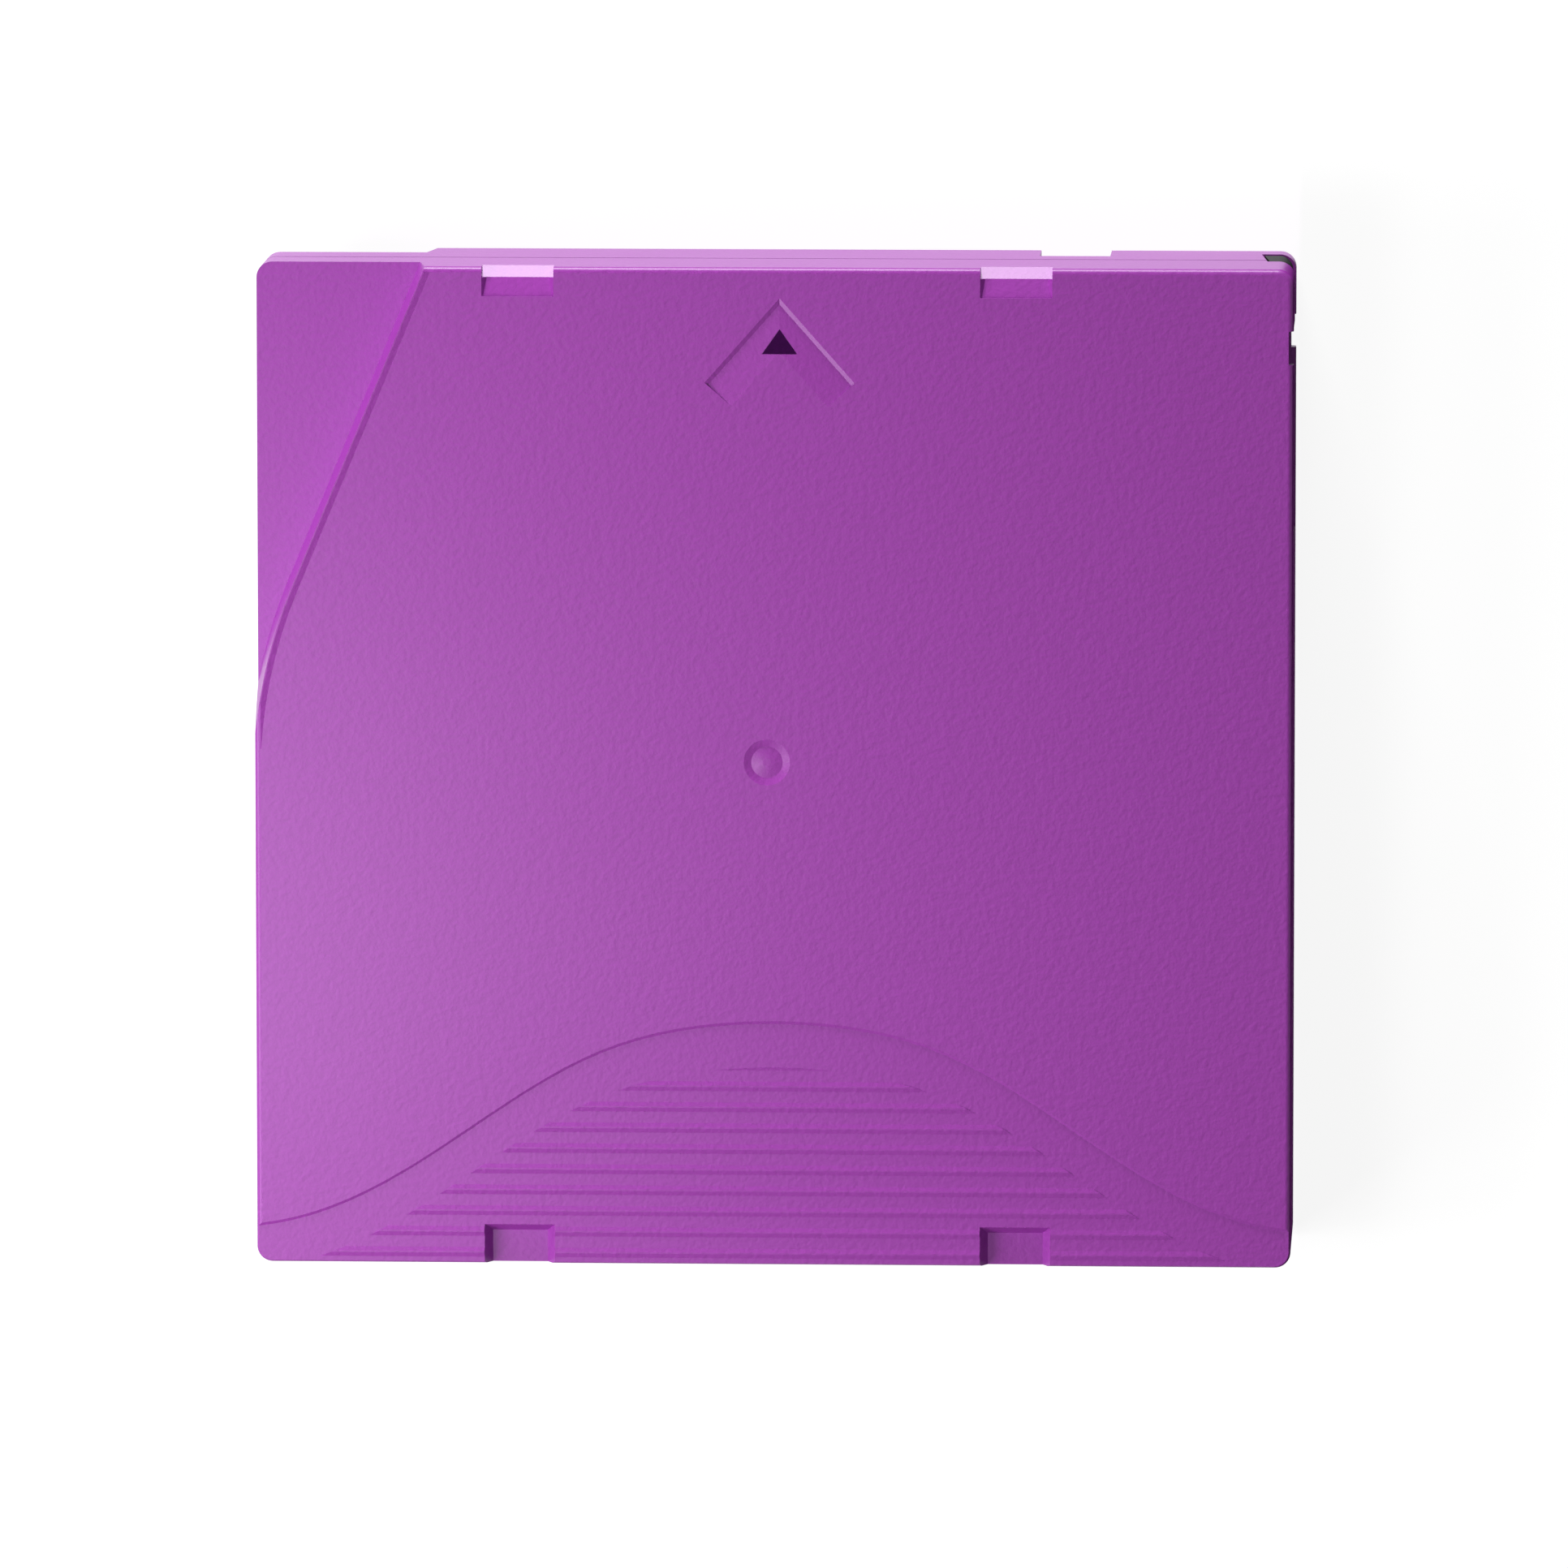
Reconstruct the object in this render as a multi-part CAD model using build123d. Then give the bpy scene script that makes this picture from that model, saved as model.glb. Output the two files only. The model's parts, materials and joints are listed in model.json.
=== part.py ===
"""Half-inch single-reel data tape cartridge, in millimetres.

It lies on its lower case. +Y is the way it goes into a drive, +X is the door side and +Z is up.
The origin is the centre of its underside.
"""
import os
from math import acos, atan2, cos, degrees, hypot, radians, sin
from build123d import *

# Case
case_width = 105.4
case_depth = 102.0
case_height = 21.5
wall = 1.9
floor_thickness = 2.0
ceiling_thickness = 2.0
corner_radius = 1.6
edge_radius = 0.6
seam_groove_height = 0.3
seam_groove_depth = 0.25
lip_height = 0.8
lip_clearance = 0.06

# Slanted guide corner at the front left, cut in from above and from below
guide_front_run = 17.5
guide_bend_inset = 3.8
guide_bend_back = 32.8
guide_length = 49.2
guide_top_depth = 5.0
guide_block_height = 11.0
guide_draft = 8.5
bead_height = 0.12
bead_crest = 0.12
bead_slope = 0.55

# Grip field on the upper case
grip_depth = 0.15
grip_slope = 0.3
grip_crown = 25.1
grip_shoulder = (17.0, 22.2)
grip_flank = (30.2, 14.5)
grip_foot = (43.5, 6.5)
grip_edge = 3.9
rib_count = 10
rib_pitch = 2.15
rib_first = 1.15
rib_width = 1.0
rib_crest = 0.14
rib_height = 0.08
rib_margin = 4.8
rib_side_margin = 2.6

# Insertion arrow, and the chevron of two one-sided grooves in front of it
arrow_width = 3.65
arrow_length = 2.6
arrow_from_front = 6.2
arrow_depth = 0.15
arrow_offset = 1.3
chevron_width = 15.2
chevron_length = 8.6
chevron_from_front = 3.1
chevron_depth = 0.22
chevron_slope = 0.43
chevron_run = 3.2

# Notches in the upper and lower edges
notch_spacing = 50.5
notch_width = 7.3
front_notch_length = 3.0
front_notch_depth = 0.8
front_notch_rear_depth = 0.25
front_notch_slope = 0.5
front_notch_chamfer = 1.1
rear_notch_length = 4.1
rear_notch_depth = 1.6
rear_notch_draft = 28.0
low_notch_offset = 30.8
low_notch_width = 7.2
low_notch_height = 7.0
low_notch_depth = 0.8
side_notch_from_front = 6.3
side_notch_length = 3.4
side_notch_depth = 0.5
gate_radius = 2.35
gate_slope = 0.75
gate_depth = 0.22
gate_dome = 0.12

# Label bay in the rear wall
label_length = 78.0
label_height = 16.0
label_depth = 0.3
label_from_right = 4.5
label_corner = 1.0

# Reel
reel_offset_x = -0.6
reel_offset_y = 0.6
reel_gap = 0.5
flange_clearance = 1.05
flange_thickness = 1.2
tape_clearance = 0.175
pack_margin = 1.1
hub_radius = 22.0
hub_wall = 2.5
hub_floor = 1.8
spigot_length = 1.6
spigot_wall = 1.2
assembly_clearance = 0.06
seat_clearance = 0.3
window_radius = 21.5
window_rib = 2.0
well_rib = 1.2
well_rib_height = 2.0
well_gap = 0.9
well_arcs = ((52, 82), (193, 262), (278, 345))

# Drive teeth under the hub
drive_teeth = 60
drive_ring_inner = 16.0
drive_ring_outer = 19.6
drive_tooth_height = 1.1
drive_tooth_root = 1.1
drive_tooth_tip = 0.4
drive_ring_drop = 0.6

# Clutch plate
plate_inner = 4.6
plate_outer = 15.0
plate_thickness = 1.0

# Brake and its release
lock_teeth = 24
lock_ring_inner = 12.0
lock_ring_outer = 15.5
lock_tooth_height = 1.4
lock_tooth_root = 1.7
lock_tooth_tip = 0.9
lock_tooth_gap = 0.2
brake_radius = 16.6
brake_disc = 1.6
brake_boss_radius = 6.4
brake_boss_gap = 1.0
brake_boss_floor = 0.8
key_gap = 1.6
key_arm_length = 8.4
key_arm_width = 2.0
key_clearance = 0.2
brake_lift = 1.8
spring_radius = 9.4
spring_wire = 0.8
spring_turns = 4
wire_sides = 8
spring_end_gap = 0.1
spring_cup_wall = 1.0
spring_cup_height = 1.2
spring_cup_gap = 0.5
spider_leg_circle = 9.0
spider_leg_radius = 1.6
spider_hole_gap = 0.4
spider_plate = 1.0
spider_rest_gap = 0.2
spider_pad_radius = 3.6
spider_arm_width = 2.6
leg_count = 3

# Door
door_thickness = 1.2
door_side_gap = 0.3
door_edge_gap = 0.15
door_overlap = 4.0
opening_from_front = 6.0
opening_length = 22.0
slit_width = 3.5
slit_slant = 0.7
slit_low = 4.3
slit_height = 8.0
door_travel = 21.5
door_front_round = 1.4
door_front_inset = 0.1
door_rail_end = 2.0
door_lug_length = 1.2
door_lug_height = 3.8
door_peg_length = 3.0
door_peg_radius = 1.0
guide_rib_width = 0.7
guide_rib_height = 0.9
door_spring_radius = 1.45
door_spring_wire = 0.35
door_spring_turns = 12
door_spring_closed = 6.8
spring_stop_thickness = 1.3

# Leader pin
pin_from_side = 8.4
pin_from_front = 14.5
pin_core_radius = 1.6
pin_flange_radius = 2.9
pin_flange_thickness = 0.9
pin_tip_radius = 1.4
pin_groove_radius = 1.0
pin_top_gap = 0.1
pin_tip_chamfer = 0.3
tape_film = 0.2
film_gap = 0.05
film_wrap = 200
clip_wall = 0.7
clip_start = 5
clip_wrap = 280
socket_wall = 1.0
socket_height = 0.6
socket_gap = 0.2
socket_mouth = 70.0
pin_spring_strip = 0.4
pin_spring_width = 0.6
pin_spring_gap = 0.1
pin_spring_reach = 5.4
pin_spring_post = 1.2
pin_spring_arm_end = 1.2

# Write-protect tab
tab_window_length = 12.0
tab_window_height = 6.4
tab_window_from_left = 6.7
tab_travel = 4.0
tab_nub_length = 7.0
tab_gap = 0.3
tab_thickness = 1.6
tab_plate_length = 16.0
tab_plate_height = 10.0
tab_plate_overlap = 1.0
tab_plate_hold = 2.0
tab_rib_thickness = 1.0
tab_rib_overlap = 0.9
tab_grip_count = 4
tab_grip_width = 0.6
tab_grip_depth = 0.35

# Cartridge memory
memory_length = 19.0
memory_width = 9.1
memory_thickness = 0.6
memory_from_rear = 2.6
memory_chip = 4.0
memory_chip_height = 0.8
memory_chip_draft = 8
memory_shelf = 7.0
memory_shelf_width = 1.2
memory_shelf_inset = 1.0

# Screws, each with its distance from the nearest side wall and from the nearest end wall
screw_rear_left = (8.2, 12.5)
screw_rear_right = (14.2, 6.0)
screw_front_right = (17.2, 5.5)
screw_front_left = (6.2, 9.0)
screw_head_radius = 2.4
screw_head_height = 1.5
screw_head_chamfer = 0.4
screw_shank_radius = 1.25
screw_shank_length = 6.5
screw_recess_radius = 1.0
screw_recess_depth = 0.8
screw_sink = 0.3
screw_clearance = 0.06
post_radius = 3.6
post_web = 2.0
post_gap = 0.1

# Location holes for the drive's datum pins
location_radius = 2.0
location_depth = 6.0
location_wall = 1.3
location_from_left = 14.2
location_from_rear = 8.0
location_slot_x = 29.5
location_slot_length = 5.6

# How far a cut runs past a face, a rib is sunk into its wall, and two joined forms overlap
far_past = 5.0
past = 1.0
root = 0.5
weld = 0.1

# Places worked out from the sizes above
half_width = case_width / 2
half_depth = case_depth / 2
face_height = case_height - bead_height
middle = case_height / 2
ceiling = case_height - ceiling_thickness
inside_x = half_width - wall
inside_y = half_depth - wall
guide_bottom_depth = case_height - guide_top_depth - guide_block_height
reel_x = reel_offset_x
reel_y = reel_offset_y
flange_bottom = floor_thickness + flange_clearance
flange_top = ceiling - flange_clearance
pack_floor = flange_bottom + flange_thickness
pack_ceiling = flange_top - flange_thickness
tape_low = pack_floor + tape_clearance
tape_high = pack_ceiling - tape_clearance
door_outer = inside_x - door_side_gap
door_inner = door_outer - door_thickness
side_room = door_inner - guide_rib_width - door_side_gap - reel_x
depth_room = inside_y - abs(reel_y)
flange_radius = min(side_room, depth_room) - reel_gap
pack_radius = flange_radius - pack_margin
hub_bore = hub_radius - hub_wall
hub_floor_top = flange_bottom + hub_floor
brake_underside = hub_floor_top + lock_tooth_height + lock_tooth_gap
brake_top = brake_underside + brake_disc
pin_x = half_width - pin_from_side
pin_y = half_depth - pin_from_front
opening_front = half_depth - opening_from_front
opening_rear = opening_front - opening_length
door_rear = opening_rear - door_overlap
spring_stop_y = door_rear - door_travel - door_spring_closed
door_spring_x = door_outer - door_spring_radius - door_spring_wire
tab_window_x = -half_width + tab_window_from_left
tab_front = -inside_y + tab_gap / 3
arrow_x = reel_x + arrow_offset
notch_places = [reel_x - notch_spacing / 2, reel_x + notch_spacing / 2]
screw_places = {
    "case_screw_1": (-half_width + screw_rear_left[0], -half_depth + screw_rear_left[1], 0.0),
    "case_screw_2": (half_width - screw_rear_right[0], -half_depth + screw_rear_right[1], 0.0),
    "case_screw_3": (half_width - screw_front_right[0], half_depth - screw_front_right[1], 0.0),
    "case_screw_4": (
        -half_width + screw_front_left[0], half_depth - screw_front_left[1], guide_bottom_depth
    ),
}


def block(x0, x1, y0, y1, z0, z1):
    """A box between two corners."""
    corner = (Align.MIN, Align.MIN, Align.MIN)
    return Pos(x0, y0, z0) * Box(x1 - x0, y1 - y0, z1 - z0, align=corner)


def disc(radius, z0, z1, x=0.0, y=0.0):
    """An upright cylinder between two heights."""
    return Pos(x, y, z0) * Cylinder(radius, z1 - z0, align=(Align.CENTER, Align.CENTER, Align.MIN))


def ring(outer, inner, z0, z1, x=0.0, y=0.0):
    """An upright ring between two heights."""
    return disc(outer, z0, z1, x, y) - disc(inner, z0 - past, z1 + past, x, y)


def raised(plan, z0, z1):
    """A plan drawing stood up between two heights."""
    return Pos(0, 0, z0) * extrude(plan, z1 - z0, dir=(0, 0, 1))


def polygon(points):
    """A closed flat outline."""
    return make_face(Polyline(*points, close=True))


def sector(outer, inner, start, end):
    """Flat part of a ring between two angles in degrees."""
    reach = outer * 2
    middle_angle = (start + end) / 2
    wedge = [(0, 0)]
    for angle in (start, (start + middle_angle) / 2, middle_angle, (middle_angle + end) / 2, end):
        wedge.append((reach * cos(radians(angle)), reach * sin(radians(angle))))
    return (Circle(outer) - Circle(inner)) & polygon(wedge)


def at_reel(part):
    """A part modelled round the reel axis, moved to its place."""
    return Pos(reel_x, reel_y, 0) * part


def inside_plan():
    """Plan of the room inside the four walls."""
    return Rectangle(2 * inside_x, 2 * inside_y)


def guide_path():
    """The guide face seen from above: straight from past the front wall, then an arc to the side."""
    bend = Vector(-half_width + guide_bend_inset, half_depth - guide_bend_back)
    front = Vector(-half_width + guide_front_run, half_depth)
    start = front + (front - bend).normalized() * far_past
    end = Vector(-half_width, half_depth - guide_length)
    return [Line(start, bend), TangentArc(bend, end, tangent=bend - front)]


def guide_plan(growth=0.0):
    """Plan of the corner outside the slanted guide face."""
    straight, sweep_line = guide_path()
    start = straight @ 0
    end = sweep_line @ 1
    outer = Polyline(
        end,
        (-half_width - far_past, end.Y - far_past),
        (-half_width - far_past, start.Y),
        start,
    )
    plan = make_face([straight, sweep_line, outer])
    if growth:
        plan = offset(plan, growth)
    return plan


def case_block():
    """The whole case as one closed block with its eased edges."""
    solid = extrude(RectangleRounded(case_width, case_depth, corner_radius), face_height)
    rims = solid.faces().sort_by(Axis.Z)
    return fillet(rims[0].edges() + rims[-1].edges(), edge_radius)


def case_cavity():
    """The room inside, shallower under the guide corner."""
    full = raised(inside_plan() - guide_plan(wall), floor_thickness, ceiling)
    low = guide_bottom_depth + floor_thickness
    high = case_height - guide_top_depth - ceiling_thickness
    return full + raised(inside_plan(), low, high)


def seam_groove():
    """Shallow groove round the outside where the halves meet."""
    outer = Rectangle(case_width + 2, case_depth + 2)
    kept = RectangleRounded(
        case_width - 2 * seam_groove_depth, case_depth - 2 * seam_groove_depth, corner_radius
    )
    return raised(outer - kept, middle, middle + seam_groove_height)


def lip(growth=0.0):
    """Inner half of the wall, which stands up from the lower case into the upper."""
    plan = RectangleRounded(
        case_width - wall + growth, case_depth - wall + growth, corner_radius / 2
    )
    return raised(plan - inside_plan(), middle - growth, middle + lip_height + growth)


def guide_cut(depth):
    """The slanted corner as a cut that starts at the ground plane and goes down."""
    return extrude(guide_plan(), depth, dir=(0, 0, -1), taper=guide_draft)


def guide_cuts():
    """The slanted corner above and its mirror image below."""
    above = Pos(0, 0, case_height) * guide_cut(guide_top_depth)
    return [above, mirror(guide_cut(guide_bottom_depth), Plane.XY)]


def guide_bead():
    """Low bead along the top edge of the guide face, sloping down to the top face."""
    straight, sweep_line = guide_path()
    along = (straight % 0).normalized()
    inward = Vector(-along.Y, along.X)
    crest = inward * bead_crest
    foot = inward * (bead_crest + bead_slope)
    up = Vector(0, 0, case_height)
    base = Vector(0, 0, face_height - weld)
    start = straight @ 0
    outside = start - inward * weld
    profile = polygon([
        outside + base, start + foot + base, start + foot + base + Vector(0, 0, weld),
        start + crest + up, outside + up,
    ])
    bead = sweep(profile, path=Wire([straight.edge(), sweep_line.edge()]))
    inset = 2 * edge_radius
    room = RectangleRounded(case_width - inset, case_depth - inset, corner_radius)
    return bead & raised(room, face_height - past, case_height + past)


def slit_outline(gap=0.0):
    """Front view of the slit at the front right corner, narrower at its top."""
    low = slit_low + gap
    high = slit_low + slit_height - gap
    left = half_width - slit_width + gap
    return Plane.XZ * polygon([
        (left, low), (half_width + past, low), (half_width + past, high), (left + slit_slant, high)
    ])


def door_way():
    """Opening in the right wall and the slit at the front corner."""
    opening = block(
        inside_x - wall / 2, half_width + past, opening_rear, opening_front, floor_thickness, ceiling
    )
    slit = extrude(slit_outline(), half_depth + past, dir=(0, 1, 0))
    behind = block(-half_width, half_width + 2 * past, -past, opening_rear + past, 0, case_height)
    return opening + (slit - behind)


def side_notch():
    """Handling notch across the right wall."""
    front = half_depth - side_notch_from_front
    return block(
        half_width - side_notch_depth, half_width + past, front - side_notch_length, front,
        -past, case_height + past,
    )


def tab_window():
    """Window for the write-protect tab."""
    low = middle - tab_window_height / 2
    return block(
        tab_window_x, tab_window_x + tab_window_length,
        -half_depth - past, -inside_y + past, low, low + tab_window_height,
    )


def label_bay():
    """Shallow bare bay in the rear wall."""
    centre = half_width - label_from_right - label_length / 2
    outline = RectangleRounded(label_length, label_height, label_corner)
    plan = Plane.XZ * Pos(centre, middle) * outline
    return Pos(0, -half_depth, 0) * extrude(plan, label_depth, both=True)


def both_halves_cut():
    """Everything that is taken out of both halves."""
    return guide_cuts() + [
        case_cavity(), door_way(), side_notch(), tab_window(), label_bay(), seam_groove()
    ]


def grip_plan(shift=0.0):
    """Plan of the bell-shaped grip field at the rear."""
    base = -half_depth - shift
    side = half_width + past
    left = [(-side, base + grip_edge)]
    for x, height in (grip_foot, grip_flank, grip_shoulder):
        left.append((-x, base + height))
    right = [(-x, y) for x, y in reversed(left)]
    crown = [(0, base + grip_crown)]
    bell = Spline(left + crown + right)
    low = base - far_past
    foot = Polyline(right[-1], (side, low), (-side, low), left[0])
    return make_face([bell, foot])


def grip_field():
    """The sunk grip field, with a sloping edge along the bell."""
    top = grip_plan()
    floor = Pos(0, 0, face_height - grip_depth) * grip_plan(grip_slope)
    return loft([Pos(0, 0, face_height) * top, floor]) + raised(top, face_height, case_height + past)


def grip_ribs():
    """Low ridges across the grip field, each ending short of its edge."""
    floor_height = face_height - grip_depth
    ridges = []
    for index in range(rib_count):
        y = -half_depth + rib_first + index * rib_pitch
        profile = Plane.YZ * polygon([
            (y - rib_width / 2, floor_height - weld),
            (y + rib_width / 2, floor_height - weld),
            (y + rib_width / 2, floor_height),
            (y + rib_crest / 2, floor_height + rib_height),
            (y - rib_crest / 2, floor_height + rib_height),
            (y - rib_width / 2, floor_height),
        ])
        ridges.append(extrude(profile, half_width - rib_side_margin, both=True))
    field = raised(grip_plan(rib_margin), floor_height - past, case_height)
    return (Part() + ridges) & field


def arrow_cut():
    """Sunk triangle that shows the way in."""
    tip = half_depth - arrow_from_front
    plan = polygon([
        (arrow_x, tip),
        (arrow_x - arrow_width / 2, tip - arrow_length),
        (arrow_x + arrow_width / 2, tip - arrow_length),
    ])
    return raised(plan, face_height - arrow_depth, case_height + past)


def chevron_arm(side):
    """One arm: a groove with a short steep outer side and a long gentle inner one."""
    tip = Vector(arrow_x, half_depth - chevron_from_front, face_height)
    arm = Vector(side * chevron_width / 2, -chevron_length, 0)
    inward = Vector(-side * chevron_length, -chevron_width / 2, 0).normalized()
    bottom = inward * chevron_slope - Vector(0, 0, chevron_depth)
    inner = inward * (chevron_slope + chevron_run)
    above = Vector(0, 0, past)
    start = tip - arm
    profile = polygon([start, start + bottom, start + inner, start + inner + above, start + above])
    groove = extrude(profile, 2 * arm.length, dir=arm)
    half = sorted((arrow_x, arrow_x + side * chevron_width))
    return groove & block(*half, 0, half_depth, face_height - past, case_height + past)


def front_notch(x):
    """Shallow handling notch that falls towards the front, with sloping sides and a chamfered mouth."""
    top = face_height
    low = top - front_notch_depth
    wide = notch_width / 2
    narrow = wide - front_notch_slope
    sides = Plane.XZ * polygon([(-wide, top), (-narrow, low), (narrow, low), (wide, top)])
    back = half_depth - front_notch_length
    floor = Plane.YZ * polygon([
        (back, top + past), (back, top - front_notch_rear_depth),
        (half_depth - front_notch_chamfer, low),
        (half_depth + past, low), (half_depth + past, top + past),
    ])
    pocket = extrude(sides, half_depth + past, dir=(0, 1, 0)) & extrude(floor, wide, both=True)
    mouth = Plane.YZ * polygon([
        (half_depth - front_notch_chamfer, low),
        (half_depth + weld, low - front_notch_chamfer - weld),
        (half_depth + weld, top + past),
        (half_depth - front_notch_chamfer, top + past),
    ])
    return Pos(x, 0, 0) * (pocket + extrude(mouth, wide, both=True))


def rear_notch(x):
    """Deeper handling notch at the rear edge, with drafted sides."""
    length = rear_notch_length + past
    plan = Pos(x, -half_depth - past + length / 2) * Rectangle(notch_width, length)
    cut = extrude(plan, rear_notch_depth, dir=(0, 0, -1), taper=rear_notch_draft)
    return Pos(0, 0, face_height) * cut


def rear_notch_pad(x):
    """Ceiling carried on under a rear notch, so that it keeps its thickness."""
    low = ceiling - rear_notch_depth
    return block(
        x - notch_width / 2 - wall, x + notch_width / 2 + wall,
        -inside_y - root, -half_depth + rear_notch_length + wall, low, ceiling + root,
    )


def gate_mark():
    """Round dish with sloping sides and a slightly domed middle, over the reel axis."""
    floor_radius = gate_radius - gate_slope
    low = face_height - gate_depth
    crown = low + gate_dome
    profile = polygon([
        (0, crown), (0, face_height + past), (gate_radius, face_height + past),
        (gate_radius, face_height), (floor_radius, low),
        (floor_radius / 2, low + gate_dome * 3 / 4), (floor_radius / 4, crown),
    ])
    return at_reel(revolve(Plane.XZ * profile, Axis.Z))


def well_ribs(z0, z1):
    """Arcs that close the round well in three corners."""
    inner = flange_radius + well_gap
    arcs = Part()
    for start, end in well_arcs:
        arcs += raised(sector(inner + well_rib, inner, start, end), z0, z1)
    return at_reel(arcs) & raised(inside_plan(), z0, z1)


def door_rails(z0, z1):
    """Ribs that keep the door against the wall while it is open."""
    x1 = door_inner - door_side_gap
    rear = door_rear - door_travel - door_rail_end
    return block(x1 - guide_rib_width, x1, rear, opening_rear - door_rail_end, z0, z1)


def tab_rail(z0, z1):
    """Rib behind the write-protect tab."""
    front = tab_front + tab_thickness + tab_gap
    left = tab_window_x - tab_plate_overlap - tab_rib_overlap
    length = tab_plate_length + tab_travel + 2 * tab_rib_overlap
    return block(left, left + length, front, front + tab_rib_thickness, z0, z1)


def pin_socket(z0, z1):
    """C-shaped seat for one end of the leader pin, open towards the door."""
    inner = pin_tip_radius + socket_gap
    plan = sector(inner + socket_wall, inner, socket_mouth / 2, 360 - socket_mouth / 2)
    return Pos(pin_x, pin_y, 0) * raised(plan, z0, z1)


def pin_spring_posts(z0, z1):
    """Two ribs that hold the pin spring's back."""
    y = pin_y + pin_spring_reach
    x0 = pin_x - pin_spring_post
    gap = pin_spring_strip / 2 + assembly_clearance
    front = block(x0, pin_x + pin_spring_post, y + gap, y + gap + pin_spring_post, z0, z1)
    rear = block(x0, pin_x + pin_spring_post, y - gap - pin_spring_post, y - gap, z0, z1)
    return front + rear


def memory_shelves():
    """Sloping ribs that carry the memory board at 45 degrees."""
    rear = -half_depth + memory_from_rear + memory_shelf_inset
    far = rear + memory_length - 2 * memory_shelf_inset - memory_shelf_width
    profile = [
        (inside_x - memory_shelf, floor_thickness - weld),
        (inside_x + weld, floor_thickness - weld),
        (inside_x + weld, floor_thickness + memory_shelf),
    ]
    shelves = Part()
    for y in (rear, far):
        shelf = extrude(Plane.XZ * polygon(profile), memory_shelf_width, dir=(0, 1, 0))
        shelves += Pos(0, y, 0) * shelf
    return shelves


def spring_stop():
    """Rib that the door spring pushes against."""
    y = spring_stop_y
    return block(
        door_spring_x - door_spring_radius - door_spring_wire, inside_x + weld,
        y - spring_stop_thickness, y, floor_thickness - weld, middle - seam_groove_height,
    )


def screw_post_low(x, y, base):
    """Lower part of a screw post, up to the upper case's post."""
    top = base + screw_sink + screw_head_height + post_web
    return disc(post_radius, base + root, top, x, y)


def screw_hole_low(x, y, base):
    """Counterbore and clearance hole for a screw."""
    head_top = base + screw_sink + screw_head_height
    shank_top = head_top + screw_shank_length
    counterbore = disc(screw_head_radius + screw_clearance, base - past, head_top, x, y)
    return counterbore + disc(screw_shank_radius + screw_clearance, base, shank_top, x, y)


def screw_post_high(x, y, base):
    """Post from the ceiling with its blind screw hole."""
    bottom = base + screw_sink + screw_head_height + post_web + post_gap
    top = (case_height - guide_top_depth if base else case_height) - ceiling_thickness / 2
    depth = base + screw_sink + screw_head_height + screw_shank_length + post_gap
    return disc(post_radius, bottom, top, x, y) - disc(
        screw_shank_radius + screw_clearance, bottom - past, depth, x, y
    )


def location_places():
    """Centres of the round hole and the slot."""
    y = -half_depth + location_from_rear
    return (-half_width + location_from_left, y), (location_slot_x, y)


def location_bosses():
    """Bosses round the blind location holes."""
    radius = location_radius + location_wall
    top = location_depth + location_wall
    bosses = Part()
    hole, slot = location_places()
    bosses += disc(radius, floor_thickness / 2, top, *hole)
    slot_plan = Pos(*slot) * SlotOverall(location_slot_length + 2 * location_wall, 2 * radius)
    return bosses + raised(slot_plan, floor_thickness / 2, top)


def location_holes():
    """A round hole and a slot, which place the cartridge in a drive."""
    hole, slot = location_places()
    slot_plan = Pos(*slot) * SlotOverall(location_slot_length, 2 * location_radius)
    return disc(location_radius, -past, location_depth, *hole) + raised(slot_plan, -past, location_depth)


def low_notch():
    """Notch in the lower half of the front wall."""
    x = reel_x + low_notch_offset
    return block(
        x - low_notch_width / 2, x + low_notch_width / 2,
        half_depth - low_notch_depth, half_depth + past, -past, low_notch_height,
    )


def brake_key():
    """Cross-shaped key under the ceiling that stops the brake turning."""
    bottom = brake_top + brake_lift + key_gap
    arms = Rectangle(key_arm_length, key_arm_width) + Rectangle(key_arm_width, key_arm_length)
    return at_reel(raised(arms, bottom, ceiling + root))


def spring_cup():
    """Ring under the ceiling round the brake spring."""
    inner = spring_radius + spring_wire / 2 + spring_cup_gap
    return ring(inner + spring_cup_wall, inner, ceiling - spring_cup_height, ceiling + root, reel_x, reel_y)


def make_upper_case():
    """Upper half of the case with everything moulded on it."""
    shell = case_block() & block(-half_width, half_width, -half_depth, half_depth, middle, case_height)
    shell += guide_bead()
    shell -= lip(lip_clearance)
    shell -= both_halves_cut()
    well = well_ribs(ceiling - well_rib_height, ceiling + root)
    shell += [well, door_rails(ceiling - guide_rib_height, ceiling + root), brake_key(), spring_cup()]
    shell += tab_rail(middle + tab_plate_height / 2 - tab_plate_hold, ceiling + root)
    shell += [pin_socket(ceiling - socket_height, ceiling + root)]
    shell += [rear_notch_pad(x) for x in notch_places]
    shell += [screw_post_high(*place) for place in screw_places.values()]
    shell -= grip_field()
    shell += grip_ribs()
    shell -= [arrow_cut(), chevron_arm(-1), chevron_arm(1), gate_mark()]
    shell -= [front_notch(x) for x in notch_places]
    shell -= [rear_notch(x) for x in notch_places]
    return shell


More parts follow.
